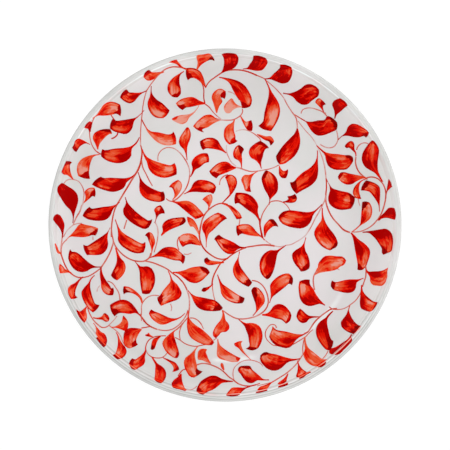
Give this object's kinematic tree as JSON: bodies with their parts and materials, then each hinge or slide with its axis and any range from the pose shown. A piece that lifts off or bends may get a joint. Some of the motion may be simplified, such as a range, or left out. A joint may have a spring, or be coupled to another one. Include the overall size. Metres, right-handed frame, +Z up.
{
  "type": "dinner plate",
  "caption": "Round white glazed earthenware plate with a flat well, a short upright wall and a foot ring, painted with a red scrolling leafy vine.",
  "frame": {"origin": "on the plate's axis, at the level of the foot ring's standing face", "axes": "+Z up along the axis of revolution; +Y is towards the top edge of the painted face as the vine is drawn, +X to its right"},
  "size_m": [0.27, 0.27, 0.026],
  "materials": {
    "bare_clay": "matt fired buff earthenware, seen only on the wiped foot ring",
    "white_glaze": "glossy off-white tin glaze",
    "red_pigment": "brushed red pigment, thin in the middle of a stroke and dark where it pools, under the same gloss as the glaze"
  },
  "bodies": {
    "root": {"clay_body": "bare_clay", "upper_glaze": "white_glaze", "base_glaze": "white_glaze"}
  },
  "joints": []
}
